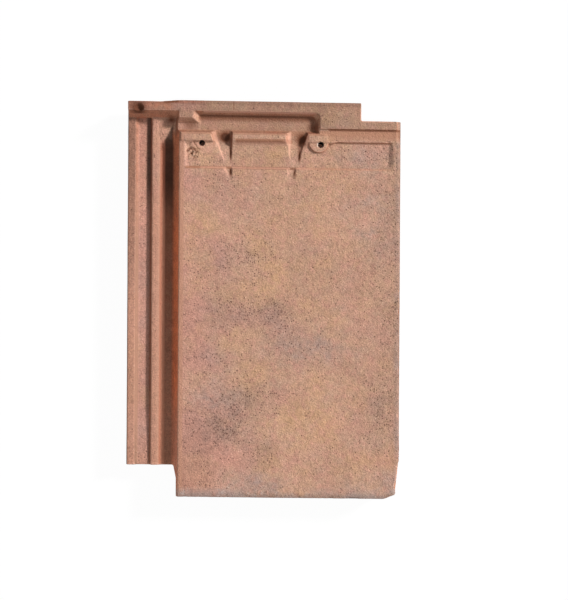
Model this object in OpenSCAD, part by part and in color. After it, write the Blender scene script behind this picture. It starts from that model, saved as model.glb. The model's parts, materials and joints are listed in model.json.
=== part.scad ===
// Flat interlocking clay roof tile, pressed and fired as one piece.
// It lies face up: +Y runs to the head, +X to the side that covers the next tile,
// +Z up, with the origin on the floor under the middle of the tile.

/* [Tile] */
// Length from the head edge to the tail edge
tile_l = 420; // [400:1:450]
// Width of the panel, from the side channel to the covering edge
panel_w = 235; // [225:1:260]
// Thickness of the panel
panel_t = 13; // [12:0.5:16]
// Rounding of the long edges of the face
edge_r = 2; // [1:0.25:2.5]
// Open joint between the panels of two tiles laid side by side
joint_gap = 13.5; // [13:0.25:14.5]

/* [Side lock] */
// Depth of the two side channels below the face
lock_depth = 12.5; // [11.5:0.25:13.5]
// Thickness of clay under the side channels
lock_floor_t = 7.5; // [7:0.25:9]
// Width of the outer rib, on its top
outer_rib_w = 8.25; // [6:0.25:10]
// Height of the outer rib above its channel
outer_rib_h = 3.5; // [3:0.25:4]
// Width of the outer channel's floor
outer_channel_w = 12.25; // [11:0.25:15]
// Width of the inner rib, on its top
inner_rib_w = 6; // [5:0.25:8]
// Height of the inner rib above its channel
inner_rib_h = 4; // [3.5:0.25:4.5]
// Width of the inner channel's floor
inner_channel_w = 11.75; // [10:0.25:14]
// Distance from the tail edge to the end of the side lock
lock_tail_gap = 32.5; // [28:0.5:40]

/* [Head] */
// Width of the rib along the head edge, on its top
head_rib_w = 11; // [9:0.5:13]
// Height of the head rib above the face
head_rib_rise = 2.25; // [1.75:0.25:3]
// Width of the head channel, from the head rib to the cross rib
head_channel_w = 23; // [21:0.5:25]
// Depth of the head channel below the face
head_channel_depth = 4.25; // [3.5:0.25:6]
// Length of the head channel between its closed ends
head_channel_l = 135; // [131:1:140]
// Width of the cross rib, on its top
cross_rib_w = 7.5; // [5:0.25:8]
// Height of the cross rib above the face
cross_rib_rise = 1.5; // [1:0.25:1.75]
// Width of the corner notch that takes the next tile's head stop
notch_w = 42; // [38:1:46]
// Length of the corner notch, along the tile
notch_l = 19; // [15:0.5:21]
// Length of the seat that takes the upper tile's tail lip, along the tile
seat_l = 25; // [24:0.5:30]
// Depth of the seat below the face
seat_depth = 1.5; // [0.5:0.25:1.75]

/* [Drain gutters] */
// Distance between the inner walls of the two gutters
gutter_gap = 58; // [54:1:64]
// Width of a gutter where it leaves the head channel
gutter_w = 22; // [17:0.5:24]
// Width of a gutter at its tip
gutter_tip_w = 6; // [4:0.5:7]
// Length of a gutter, from the head channel to its tip
gutter_l = 50; // [46:1:56]

/* [Nail holes] */
// Diameter of a nail hole
nail_d = 5.6; // [4.5:0.1:6.5]
// Distance between the two nail holes
nail_gap = 126; // [123:1:130]
// Distance from the head edge to the nail holes
nail_from_head = 45; // [43:0.5:47]
// Radius of the boss around a nail hole
boss_r = 10; // [9:0.5:12]

/* [Underside] */
// Height of the tail lip below the panel
tail_lip_h = 18; // [16:0.5:22]
// Width of the tail lip, along the tile
tail_lip_w = 22; // [18:0.5:23]
// Width of a hanging nib, across the tile
nib_w = 34; // [26:1:44]
// Thickness of a hanging nib at its tip, along the tile
nib_t = 11; // [9:0.5:13]
// Distance between the middles of the two nibs
nib_gap = 104; // [90:1:120]
// Distance from the head edge to the nibs' batten face
nib_from_head = 24; // [21:0.5:26]
// Length of the land under the head, from the head edge
head_land_l = 74; // [68:1:90]

/* [Hidden] */
$fn = 48;

// Steps in each rounded corner of a section
arc_steps = 6;
// How far a cut runs past the clay it cuts
overrun = 5;

// Slopes of the pressed walls, measured across the wall
outer_rib_slope = 3.5;
inner_rib_rise = 2;
inner_rib_slope = 6;
panel_slope = 5.25;
edge_slope = 1.5;
lock_wall_t = 8;
lock_foot_slope = 7;
head_rib_slope = 4;
channel_slope = 7.5;
channel_end_slope = 6;
buttress_slope = 6;
stop_slope = 7;
cross_rise_slope = 3;
cross_rib_slope = 4.75;
cross_edge_slope = 1.5;
seat_slope = 1.25;
seat_side_slope = 2.75;
nib_slope = 4;
land_slope = 7;
lip_slope = 3;
gutter_bank_slope = 4.5;
// Run of a gutter's steep wall as a share of its height
gutter_lean_share = 0.3;

// Roundings of the pressed edges
crown_r = 1.25;
root_r = 1.5;
shoulder_r = 3;
head_edge_r = 2.5;
channel_corner_r = 6;
seat_corner_r = 5;
web_r = 4;

// Clearances: beside and over a lock rib, under a tongue, and of the tail lip in its seat
lock_side_clear = 1;
lock_top_clear = 0.75;
tongue_clear = 1.5;
lip_clear = 1.5;

// Small sizes of the head
stop_inset = 1;
stop_setback = 1.75;
setback_ramp_l = 21;
pit_r = 5;
pit_depth = 3.5;
pit_from_outside = 13;
pit_from_head = 9;
channel_from_panel = 15;
buttress_l = 7;
passage_rise = 0.5;
step_groove_w = 5.75;
step_groove_drop = 0.75;
cross_edge_drop = 0.5;
cross_edge_back = 1.75;
seat_left = 6;
seat_right = 8.5;
rim_w = 4;
boss_above_nail = 2;
boss_inward = 2.25;
pad_below_nail = 2;

// Spill at the head of the inner channel, and the room for it under the next tile's covering edge
spill_flat_l = 16;
spill_ramp_l = 16;
spill_rise = 3.75;
spill_clear = 2;
spill_top_clear = 1.25;

// Small sizes of the gutters and the lock's tail end
gutter_mid_from_panel = 85.25;
nail_mid_from_panel = 87.5;
gutter_sill_l = 9;
gutter_sill_rise = 0.5;
gutter_flat_l = 6.5;
gutter_flat_drop = 0.2;
gutter_run_out_l = 13;
gutter_run_out_rise = 0.1;
gutter_tip_drop = 0.25;
tail_edge_step = 1.75;
web_l = 13;
web_w = 3.5;

// Main places across the tile
lock_w = outer_rib_w + outer_rib_slope + outer_channel_w + inner_rib_rise + inner_rib_w
    + inner_rib_slope + inner_channel_w + panel_slope;
tile_w = lock_w + panel_w;
left_x = -tile_w / 2;
right_x = tile_w / 2;
panel_x = left_x + lock_w;
outer_rib_x = left_x + outer_rib_w;
outer_channel_x = outer_rib_x + outer_rib_slope;
inner_rib_foot_x = outer_channel_x + outer_channel_w;
inner_rib_x = inner_rib_foot_x + inner_rib_rise;
inner_rib_end_x = inner_rib_x + inner_rib_w;
inner_channel_x = inner_rib_end_x + inner_rib_slope;
panel_foot_x = inner_channel_x + inner_channel_w;
lock_inner_x = panel_foot_x + lock_wall_t;
under_x = lock_inner_x + lock_foot_slope;
tail_edge_x = panel_x - tail_edge_step;
notch_x = right_x - notch_w;
rim_x = right_x - rim_w;
channel_x = panel_x + channel_from_panel;
channel_end_x = channel_x + head_channel_l;
gutter_mid_x = panel_x + gutter_mid_from_panel;
nail_mid_x = panel_x + nail_mid_from_panel;
rib_break_x = nail_mid_x + nail_gap / 2 + nail_d;
seat_x = panel_x + seat_left;
seat_end_x = right_x - seat_right;

// Main places along the tile
head_y = tile_l / 2;
tail_y = -tile_l / 2;
lock_tail_y = tail_y + lock_tail_gap;
stop_head_y = head_y - stop_setback;
rib_y = head_y - head_rib_w;
stop_y = rib_y - stop_slope;
buttress_y = rib_y - buttress_l;
spill_y = stop_y - spill_flat_l;
spill_end_y = spill_y - spill_ramp_l;
cross_y = rib_y - head_channel_w;
step_y = cross_y + step_groove_w;
cross_end_y = cross_y - cross_rib_w;
seat_y = cross_end_y - cross_rib_slope;
seat_end_y = seat_y - seat_l;
notch_y = head_y - notch_l;
gutter_tip_y = cross_y - gutter_l;
nail_y = head_y - nail_from_head;
boss_y = nail_y + boss_above_nail;
nib_y = head_y - nib_from_head;
land_y = head_y - head_land_l;
lip_y = tail_y + tail_lip_w;

// Main heights
under_z = tail_lip_h;
face_z = under_z + panel_t;
lock_z = face_z - lock_depth;
lock_base_z = lock_z - lock_floor_t;
lock_mid_z = lock_z - lock_floor_t / 2;
spill_z = lock_z + spill_rise;
outer_rib_z = lock_z + outer_rib_h;
inner_rib_z = lock_z + inner_rib_h;
groove_z = inner_rib_z + lock_top_clear;
tongue_z = lock_z + tongue_clear;
head_z = face_z + head_rib_rise;
cross_z = face_z + cross_rib_rise;
step_groove_z = cross_z - step_groove_drop;
channel_z = face_z - head_channel_depth;
passage_z = channel_z + passage_rise;
seat_z = face_z - seat_depth;
// Heights inside the clay, over the covered grooves and just over the underside
core_z = (groove_z + seat_z) / 2;
root_z = under_z + edge_r;
above_z = head_z + overrun;
below_z = -overrun;

// Places of the covering edge: it follows the next tile's lock, one pitch to the right
pitch = panel_w + joint_gap;
tongue_rise = groove_z - tongue_z;
outer_groove_x = left_x + pitch - lock_side_clear;
inner_tongue_x = outer_channel_x + pitch + lock_side_clear;
inner_tongue_end_x = inner_rib_foot_x + pitch - lock_side_clear - inner_rib_rise;
edge_tongue_x = inner_channel_x + pitch + lock_side_clear - inner_rib_slope * tongue_clear / inner_rib_h;
edge_groove_x = edge_tongue_x - inner_rib_slope * tongue_rise / inner_rib_h;
land_mid_x = (under_x + outer_groove_x) / 2;

function unit(v) = v / norm(v);

// Points of the arc that rounds the corner b between a and c
function corner_arc(a, b, c, r) =
    let (
        to_a = unit(a - b),
        to_c = unit(c - b),
        half = acos(to_a * to_c) / 2,
        reach = min(r / tan(half), norm(a - b) / 2, norm(c - b) / 2),
        radius = reach * tan(half),
        middle = b + unit(to_a + to_c) * radius / sin(half),
        from = b + to_a * reach - middle,
        start = atan2(from[1], from[0]),
        turn = sign(cross(to_a, to_c)) * (180 - 2 * half)
    )
    [for (i = [0 : arc_steps]) middle + radius
        * [cos(start - turn * i / arc_steps), sin(start - turn * i / arc_steps)]];

// Outline through corners [across, up, rounding]
function rounded(corners) =
    let (n = len(corners), at = [for (p = corners) [p[0], p[1]]])
    [for (i = [0 : n - 1]) each corners[i][2] > 0
        ? corner_arc(at[(i + n - 1) % n], at[i], at[(i + 1) % n], corners[i][2])
        : [at[i]]];

// Outline of a rectangle with one rounding on all its corners
function rounded_field(low, high, r) = rounded([
    [low[0], low[1], r],
    [high[0], low[1], r],
    [high[0], high[1], r],
    [low[0], high[1], r]
]);

// A flat outline set at one height
function at_height(outline, z) = [for (p = outline) [p[0], p[1], z]];

// A solid through rings of points, each ring anticlockwise as seen from the last one
module loft(rings) {
    n = len(rings[0]);
    last = len(rings) - 1;
    polyhedron(
        points = [for (ring = rings) each ring],
        faces = concat(
            [[for (i = [0 : n - 1]) i]],
            [for (k = [0 : last - 1], i = [0 : n - 1])
                let (a = k * n + i, b = k * n + (i + 1) % n)
                each [[b, a, a + n], [b, a + n, b + n]]],
            [[for (i = [n - 1 : -1 : 0]) last * n + i]]
        ));
}

// An outline in X and Z, drawn out along the tile between two places
module along(y0, y1) {
    translate([0, y1, 0])
        rotate([90, 0, 0])
            linear_extrude(y1 - y0)
                children();
}

// An outline in Y and Z, drawn out across the tile between two places
module across(x0, x1) {
    translate([x0, 0, 0])
        rotate([90, 0, 90])
            linear_extrude(x1 - x0)
                children();
}

// An outline in X and Y, drawn up between two heights
module upright(z0, z1) {
    translate([0, 0, z0])
        linear_extrude(z1 - z0)
            children();
}

// A plain block between two corners
module block(low, high) {
    translate(low)
        cube(high - low);
}

// Children at each nail hole, with $inward the way to the middle of the tile
module at_nails(y) {
    for (side = [-1, 1])
        translate([nail_mid_x + side * nail_gap / 2, y, 0]) {
            $inward = -side;
            children();
        }
}

// Section of the whole tile: side lock, panel and covering edge
module tile_section() {
    polygon(rounded([
        [left_x, lock_base_z, root_r],
        [lock_inner_x, lock_base_z, root_r],
        [under_x, under_z, root_r],
        [outer_groove_x - outer_rib_slope, under_z, crown_r],
        [outer_groove_x, groove_z, crown_r],
        [inner_tongue_x - outer_rib_slope, groove_z, crown_r],
        [inner_tongue_x, tongue_z, crown_r],
        [inner_tongue_end_x, tongue_z, crown_r],
        [inner_tongue_end_x + inner_rib_rise, groove_z, crown_r],
        [edge_groove_x, groove_z, crown_r],
        [edge_tongue_x, tongue_z, crown_r],
        [right_x - edge_slope, tongue_z, crown_r],
        [right_x, groove_z, crown_r],
        [right_x, face_z, edge_r],
        [panel_x, face_z, edge_r],
        [panel_foot_x, lock_z, root_r],
        [inner_channel_x, lock_z, root_r],
        [inner_rib_end_x, inner_rib_z, shoulder_r],
        [inner_rib_x, inner_rib_z, crown_r],
        [inner_rib_foot_x, lock_z, crown_r],
        [outer_channel_x, lock_z, root_r],
        [outer_rib_x, outer_rib_z, crown_r],
        [left_x, outer_rib_z, root_r]
    ]));
}

// Rib along the head edge, up to the corner notch, with the clay that its slope is cut from
module head_rib() {
    across(panel_x, notch_x)
        polygon(rounded([
            [head_y, core_z, 0],
            [head_y, head_z, head_edge_r],
            [rib_y - head_rib_slope, head_z, 0],
            [rib_y - head_rib_slope, core_z, 0]
        ]));
}

// Head stop that closes the two side channels, in line with the head rib
module head_stop() {
    across(left_x + stop_inset, panel_x)
        polygon(rounded([
            [head_y, lock_mid_z, 0],
            [head_y, head_z, 0],
            [rib_y, head_z, crown_r],
            [stop_y, inner_rib_z, root_r],
            [stop_y, lock_mid_z, 0]
        ]));
}

// Spill under the passage, which ramps down into the inner channel
module spill() {
    ramp_run = spill_ramp_l * (spill_z - lock_mid_z) / spill_rise;
    across((inner_rib_x + inner_rib_end_x) / 2, lock_inner_x)
        polygon(rounded([
            [rib_y, lock_mid_z, 0],
            [rib_y, spill_z, 0],
            [spill_y, spill_z, web_r],
            [spill_y - ramp_run, lock_mid_z, 0]
        ]));
}

// Head end of the edge tongue, cut back to clear the next tile's spill
module tongue_end_cut() {
    block(
        [edge_groove_x, spill_end_y - spill_clear, below_z],
        [right_x + overrun, head_y + overrun, spill_z + spill_top_clear]);
}

// Raised field right of the head channel, with its arm beside the notch
module plateau() {
    block([channel_end_x - channel_end_slope, step_y, core_z], [notch_x, rib_y, head_z]);
    block([channel_end_x, step_y, core_z], [rim_x, notch_y, head_z]);
}

// Clay between the head rib and the passage into the side channel
module buttress() {
    block([panel_x, buttress_y - buttress_slope, core_z], [channel_x + channel_slope, rib_y, head_z]);
}

// Section of the cross rib, from its groove to the foot of its tail slope
module cross_section(top_z, tail_slope, foot_y) {
    polygon(rounded([
        [step_y, core_z, 0],
        [step_y, step_groove_z, 0],
        [cross_y + top_z - step_groove_z, step_groove_z, 0],
        [cross_y, top_z, 0],
        [foot_y + tail_slope, top_z, crown_r],
        [foot_y, seat_z, 0],
        [foot_y, core_z, 0]
    ]));
}

// Cross rib, lower and steeper beyond the right nail hole, with the two bosses, before the gutters
// cut it
module cross_rib() {
    across(panel_x + edge_r, rib_break_x)
        cross_section(cross_z, cross_rib_slope, seat_y);
    across(rib_break_x, rim_x)
        cross_section(cross_z - cross_edge_drop, cross_edge_slope, seat_y + cross_edge_back);
    at_nails(boss_y)
        translate([$inward * boss_inward, 0, 0])
            upright(core_z, cross_z) {
                circle(boss_r);
                translate([min($inward, 0) * boss_r, nail_y - pad_below_nail - boss_y])
                    square([boss_r, cross_y - nail_y + pad_below_nail]);
            }
}

// Ring of the head channel at one height: each wall leans out by its own slope, up to its rib
function channel_ring(z) =
    let (
        back = (head_z - z) / (head_z - channel_z),
        x0 = channel_x + channel_slope * back,
        x1 = channel_end_x - channel_end_slope * back,
        y0 = cross_y + cross_rise_slope * (cross_z - z) / (cross_z - channel_z),
        y1 = rib_y - head_rib_slope * back
    )
    at_height(rounded([[x0, y0, 0], [x1, y0, 0], [x1, y1, channel_corner_r], [x0, y1, 0]]), z);

// Head channel with its four sloped walls, and the passage to the side channel
module head_channel_cut() {
    loft([channel_ring(channel_z), channel_ring(above_z)]);
    across(panel_foot_x, channel_x + channel_slope)
        polygon([
            [buttress_y, above_z],
            [buttress_y, head_z],
            [buttress_y - buttress_slope, passage_z],
            [cross_y + cross_rise_slope, passage_z],
            [cross_y, cross_z],
            [cross_y, above_z]
        ]);
}

// Ring of a gutter at one place along it: its floor, with a long bank on one side and a steep wall
// on the other, and its mouth over the face
function gutter_ring(y, width, floor_z, bank_inside) =
    let (
        wall_slope = gutter_lean_share * (face_z - floor_z),
        mouth_slope = gutter_lean_share * (above_z - face_z),
        inner_slope = bank_inside ? gutter_bank_slope : wall_slope,
        outer_slope = bank_inside ? wall_slope : gutter_bank_slope
    )
    [
        [inner_slope, y, floor_z],
        [width - outer_slope, y, floor_z],
        [width, y, face_z],
        [width + mouth_slope, y, above_z],
        [-mouth_slope, y, above_z],
        [0, y, face_z]
    ];

// Width of a gutter at one place along it
function gutter_width(y) = gutter_tip_w + (gutter_w - gutter_tip_w) * (y - gutter_tip_y) / gutter_l;

// One drain gutter, which runs out on the face at its tip
module gutter_cut(bank_inside) {
    sill_y = cross_y - gutter_sill_l;
    run_out_y = gutter_tip_y + gutter_run_out_l;
    flat_y = run_out_y + gutter_flat_l;
    stations = [
        [cross_y + cross_rise_slope, gutter_w, channel_z],
        [cross_y, gutter_w, channel_z],
        [sill_y, gutter_width(sill_y), channel_z + gutter_sill_rise],
        [flat_y, gutter_width(flat_y), seat_z - gutter_flat_drop],
        [run_out_y, gutter_width(run_out_y), seat_z + gutter_run_out_rise],
        [gutter_tip_y, gutter_tip_w, face_z - gutter_tip_drop]
    ];
    loft([for (at = stations) gutter_ring(at[0], at[1], at[2], bank_inside)]);
}

// The two gutters, mirrored about the middle of the cross rib, each with its bank on the left
module gutters_cut() {
    translate([gutter_mid_x, 0, 0])
        for (side = [0, 1])
            mirror([side, 0, 0])
                translate([gutter_gap / 2, 0, 0])
                    gutter_cut(bank_inside = side == 0);
}

// Shallow seat for the upper tile's tail lip
module seat_cut() {
    low = [seat_x, seat_end_y];
    high = [seat_end_x, cross_y];
    slope = [seat_side_slope, seat_slope];
    loft([
        at_height(rounded_field(low + slope, high - slope, seat_corner_r - seat_slope), seat_z),
        at_height(rounded_field(low, high, seat_corner_r), face_z),
        at_height(rounded_field(low, high, seat_corner_r), above_z)
    ]);
}

// Tail end of the side lock, cut short with a rounded web up to the panel's edge
module lock_tail_cut() {
    upright(below_z, above_z)
        polygon(rounded([
            [left_x - overrun, tail_y - overrun, 0],
            [tail_edge_x, tail_y - overrun, 0],
            [tail_edge_x, lock_tail_y - web_l, web_r],
            [tail_edge_x - web_w, lock_tail_y, root_r],
            [left_x - overrun, lock_tail_y, 0]
        ]));
}

// Corner notch at the head
module notch_cut() {
    upright(below_z, above_z)
        polygon(rounded([
            [notch_x, notch_y, root_r],
            [right_x + overrun, notch_y, 0],
            [right_x + overrun, head_y + overrun, 0],
            [notch_x, head_y + overrun, 0]
        ]));
}

// Head edge over the lock, set back and ramped out to the head rib
module setback_cut() {
    ramp_end_x = panel_x + edge_r;
    upright(below_z, above_z)
        polygon([
            [left_x - overrun, stop_head_y],
            [ramp_end_x - setback_ramp_l, stop_head_y],
            [ramp_end_x, head_y],
            [ramp_end_x, head_y + overrun],
            [left_x - overrun, head_y + overrun]
        ]);
}

// Dished pit in the head stop, over the outer channel
module stop_pit_cut() {
    ball_r = (pit_r * pit_r + pit_depth * pit_depth) / (2 * pit_depth);
    translate([left_x + pit_from_outside, head_y - pit_from_head, head_z - pit_depth + ball_r])
        sphere(ball_r);
}

// Lip under the tail that sits in the seat of the tile below
module tail_lip() {
    across(seat_x + seat_side_slope + lip_clear, seat_end_x - seat_side_slope - lip_clear)
        polygon(rounded([
            [tail_y, 0, crown_r],
            [lip_y, 0, crown_r],
            [lip_y + lip_slope, under_z, 0],
            [lip_y + lip_slope, core_z, 0],
            [tail_y, core_z, 0]
        ]));
}

// Land under the head, level with the underside of the lock, with the two nibs
module head_land() {
    across(lock_inner_x - root_r, outer_groove_x - outer_rib_slope)
        polygon([
            [head_y, root_z],
            [land_y, root_z],
            [land_y, under_z],
            [land_y + land_slope, lock_base_z],
            [head_y, lock_base_z]
        ]);
    for (side = [-1, 1])
        translate([land_mid_x + side * nib_gap / 2, 0, 0])
            across(-nib_w / 2, nib_w / 2)
                polygon(rounded([
                    [nib_y, 0, crown_r],
                    [nib_y, root_z, 0],
                    [nib_y + nib_t + nib_slope, root_z, 0],
                    [nib_y + nib_t + nib_slope, lock_base_z, 0],
                    [nib_y + nib_t, 0, crown_r]
                ]));
}

// The two nail holes, from the bosses right through the land
module nail_holes_cut() {
    at_nails(nail_y)
        upright(below_z, above_z)
            circle(d = nail_d);
}

module roof_tile() {
    color("#c4967a")
        difference() {
            union() {
                difference() {
                    along(tail_y, head_y)
                        tile_section();
                    seat_cut();
                }
                head_rib();
                head_stop();
                spill();
                plateau();
                buttress();
                cross_rib();
                tail_lip();
                head_land();
            }
            head_channel_cut();
            gutters_cut();
            lock_tail_cut();
            notch_cut();
            tongue_end_cut();
            setback_cut();
            stop_pit_cut();
            nail_holes_cut();
        }
}

roof_tile();
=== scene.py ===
import json
import math

import bmesh
import bpy
from bpy.props import FloatProperty, FloatVectorProperty, IntProperty, PointerProperty
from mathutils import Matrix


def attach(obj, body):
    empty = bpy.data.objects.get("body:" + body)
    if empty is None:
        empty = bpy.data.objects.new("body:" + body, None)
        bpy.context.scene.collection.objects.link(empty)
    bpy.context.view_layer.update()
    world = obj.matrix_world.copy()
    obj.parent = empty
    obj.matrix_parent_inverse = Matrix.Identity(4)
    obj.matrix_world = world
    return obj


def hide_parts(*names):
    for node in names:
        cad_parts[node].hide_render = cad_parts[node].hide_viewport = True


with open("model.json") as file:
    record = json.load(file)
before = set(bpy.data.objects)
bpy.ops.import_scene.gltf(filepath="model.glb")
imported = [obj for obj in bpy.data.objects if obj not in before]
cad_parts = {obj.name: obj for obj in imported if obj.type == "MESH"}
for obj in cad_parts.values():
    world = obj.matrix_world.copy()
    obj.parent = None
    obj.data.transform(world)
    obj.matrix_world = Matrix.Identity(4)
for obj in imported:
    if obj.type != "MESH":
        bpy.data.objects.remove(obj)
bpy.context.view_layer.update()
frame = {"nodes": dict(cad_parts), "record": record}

bl_info = {
    "name": "Clay roof tile",
    "version": (1, 0, 0),
    "blender": (4, 5, 0),
    "location": "View3D > Sidebar > Roof tile",
    "description": "Fired surface, clay finish and studio for a flat interlocking roof tile",
    "category": "Object",
}

MOUNTS = {mount["name"]: mount["pos_m"] for mount in frame["record"]["mounts"]}

# Places on the tile, in metres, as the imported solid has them
MM = 0.001
FACE_Z = 31.0 * MM
LOCK_Z = 18.5 * MM
CHANNEL_Z = 26.75 * MM
HEAD_Y = 210.0 * MM
TAIL_Y = -210.0 * MM
HEAD_RIB_Y = 199.0 * MM
CROSS_RIB_Y = 176.0 * MM
RIB_BREAK_X = 66.0 * MM
SEAT_Z = 29.5 * MM
SEAT_Y = 153.5 * MM
SEAT_END_Y = 138.75 * MM
SEAT_RIGHT_X = 135.0 * MM
RIB_TAIL_Y = 167.0 * MM
RIGHT_X = 145.0 * MM
PANEL_X = -90.0 * MM
OUTER_RIB_X = -136.5 * MM
OUTER_SLOPE_X = -134.75 * MM
OUTER_CHANNEL_X = -126.5 * MM
INNER_RIB_FOOT_X = -118.0 * MM
INNER_SLOPE_X = -108.3 * MM
INNER_CHANNEL_X = -101.0 * MM
INNER_CHANNEL_HALF = 6.0 * MM
STOP_PIT = (-133.0 * MM, 200.5 * MM)
# Edge of the painted shadow across the spill at the inner channel's head: a point on it, and its slope
SPILL_SHADOW_LINE = (-97.5 * MM, 183.9 * MM)
SPILL_SHADOW_SLOPE = 1.82
# Where painted shade lies on the right gutter's shaded bank beside the cross rib
GUTTER_LIP = (46.5 * MM, 171.0 * MM)
NAIL_LEFT = MOUNTS["nail_hole_left"]
NAIL_RIGHT = MOUNTS["nail_hole_right"]
NAIL_R = 2.8 * MM
BOSS_LEFT = (NAIL_LEFT[0] + 2.25 * MM, NAIL_LEFT[1] + 2.0 * MM)
BOSS_RIGHT = (NAIL_RIGHT[0] - 2.25 * MM, NAIL_RIGHT[1] + 2.0 * MM)
BOSS_R = 10.0 * MM

# How edges and hollows are told from the level surface
SOFT_STEPS = 40
CURVE_STEPS = 14
CURVE_START = 0.05 * MM
CURVE_FULL = 0.5 * MM

# Marks of pressing and wear
TORN_PLACE = (-76.0 * MM, 154.0 * MM)
TORN_REACH = (8.5 * MM, 11.0 * MM)
TORN_GRAIN = 2.6 * MM
BURR_R = 4.6 * MM
BURR_W = 1.4 * MM
SEAM_X = -32.0 * MM
SEAT_LINE_X = 82.5 * MM
LINE_HALF = 0.35 * MM
RAMP_START = (-109.0 * MM, 208.2 * MM)
RAMP_END = (-88.0 * MM, 210.2 * MM)
RAGGED_SIZE = 9.0 * MM
RAGGED_DEPTH = 2.6 * MM
RAGGED_START = -130.0 * MM
RAGGED_END = -165.0 * MM
WEAR_START = -158.0 * MM
WEAR_END = -208.0 * MM
WEAR_INNER = 118.0 * MM
CORNER_INNER = 129.0 * MM
CORNER_START = -196.0 * MM
CORNER_END = -206.0 * MM
CORNER_LOSS = 4.0 * MM
RIB_FOOT_SHIFT = 1.5 * MM

# Clouds of straw and of mauve in the coat, and painted shadows in the gutters and channels: place, reach
# and strength
STRAW = (
    ((-4.0 * MM, 20.0 * MM), (72.0 * MM, 46.0 * MM), 0.75),
    ((28.0 * MM, -148.0 * MM), (58.0 * MM, 52.0 * MM), 0.75),
    ((52.0 * MM, -112.0 * MM), (50.0 * MM, 46.0 * MM), 0.5),
    ((-54.0 * MM, 58.0 * MM), (50.0 * MM, 44.0 * MM), 0.45),
    ((60.0 * MM, 118.0 * MM), (44.0 * MM, 40.0 * MM), 0.4),
    ((0.0 * MM, 154.0 * MM), (44.0 * MM, 24.0 * MM), 0.5),
)
MAUVE = (
    ((122.0 * MM, 88.0 * MM), (46.0 * MM, 66.0 * MM), 0.5),
    ((46.0 * MM, -52.0 * MM), (80.0 * MM, 36.0 * MM), 0.5),
    ((-54.0 * MM, -96.0 * MM), (56.0 * MM, 50.0 * MM), 0.42),
    ((120.0 * MM, -192.0 * MM), (50.0 * MM, 26.0 * MM), 0.5),
    ((108.0 * MM, 153.0 * MM), (46.0 * MM, 20.0 * MM), 0.45),
    ((-14.0 * MM, -194.0 * MM), (62.0 * MM, 24.0 * MM), 0.7),
)
PAINTED_SHADOWS = (
    ((-40.0 * MM, 172.0 * MM), (9.5 * MM, 11.0 * MM), 1.4),
    ((-47.0 * MM, 172.0 * MM), (11.0 * MM, 9.0 * MM), 0.5),
    ((-35.0 * MM, 160.0 * MM), (3.0 * MM, 14.0 * MM), 0.8),
    ((-35.2 * MM, 152.5 * MM), (1.9 * MM, 9.0 * MM), 1.0),
    ((-35.0 * MM, 134.5 * MM), (2.8 * MM, 7.0 * MM), 1.4),
    ((41.0 * MM, 170.5 * MM), (12.0 * MM, 12.0 * MM), 1.3),
    ((38.0 * MM, 157.0 * MM), (4.0 * MM, 14.0 * MM), 0.7),
    ((37.8 * MM, 151.5 * MM), (1.9 * MM, 8.5 * MM), 0.9),
    ((33.2 * MM, 133.5 * MM), (2.9 * MM, 7.0 * MM), 1.4),
    ((54.0 * MM, 184.0 * MM), (13.0 * MM, 11.0 * MM), 0.8),
    ((-78.0 * MM, 184.5 * MM), (12.0 * MM, 7.5 * MM), 0.55),
    ((-98.6 * MM, 190.0 * MM), (9.0 * MM, 7.0 * MM), 1.0),
)

# Patches of kiln smoke: place, reach and strength
SMOKE = (
    ((13.0 * MM, -13.0 * MM), (26.0 * MM, 20.0 * MM), 0.8),
    ((-4.0 * MM, -16.0 * MM), (52.0 * MM, 30.0 * MM), 0.3),
    ((-42.0 * MM, 32.0 * MM), (56.0 * MM, 60.0 * MM), 0.24),
    ((136.0 * MM, 20.0 * MM), (26.0 * MM, 170.0 * MM), 0.4),
    ((-12.0 * MM, 44.0 * MM), (44.0 * MM, 34.0 * MM), 0.36),
    ((-42.0 * MM, -64.0 * MM), (46.0 * MM, 38.0 * MM), 0.26),
    ((2.0 * MM, -106.0 * MM), (38.0 * MM, 34.0 * MM), 0.24),
    ((-66.0 * MM, -180.0 * MM), (46.0 * MM, 44.0 * MM), 0.22),
    ((-42.0 * MM, -14.0 * MM), (40.0 * MM, 34.0 * MM), 0.34),
    ((44.0 * MM, -46.0 * MM), (48.0 * MM, 36.0 * MM), 0.24),
    ((-31.0 * MM, -112.0 * MM), (38.0 * MM, 32.0 * MM), 0.7),
    ((-40.0 * MM, -138.0 * MM), (36.0 * MM, 28.0 * MM), 0.85),
    ((-68.0 * MM, -139.0 * MM), (38.0 * MM, 36.0 * MM), 0.5),
    ((1.0 * MM, -163.0 * MM), (26.0 * MM, 26.0 * MM), 0.5),
    ((128.0 * MM, -106.0 * MM), (40.0 * MM, 46.0 * MM), 0.42),
    ((114.0 * MM, -125.0 * MM), (36.0 * MM, 38.0 * MM), 0.36),
    ((128.0 * MM, -150.0 * MM), (22.0 * MM, 26.0 * MM), 0.25),
    ((97.0 * MM, 152.0 * MM), (44.0 * MM, 18.0 * MM), 0.12),
    ((124.0 * MM, 154.0 * MM), (20.0 * MM, 16.0 * MM), 0.22),
    ((-42.0 * MM, 126.0 * MM), (28.0 * MM, 24.0 * MM), 0.25),
)

# The floor: how far it reaches, its height, the glow at which it shows white,
# and the rings round the nail holes within which it doesn't glow
FLOOR_REACH = 4.0
FLOOR_Z = -0.4 * MM
FLOOR_GLOW = 1.012
HOLE_SHADE = (12.0 * MM, 18.0 * MM)

# The picture that the camera is set for
PICTURE_W = 568
PICTURE_H = 600
SENSOR = 36.0


def length(name, description, default, **limits):
    """A length in metres, as a property."""
    return FloatProperty(
        name=name, description=description, default=default, unit="LENGTH", precision=5, **limits)


def colour(name, description, default):
    """A linear colour, as a property."""
    return FloatVectorProperty(
        name=name, description=description, default=default, subtype="COLOR", size=3, min=0, max=1)


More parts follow.
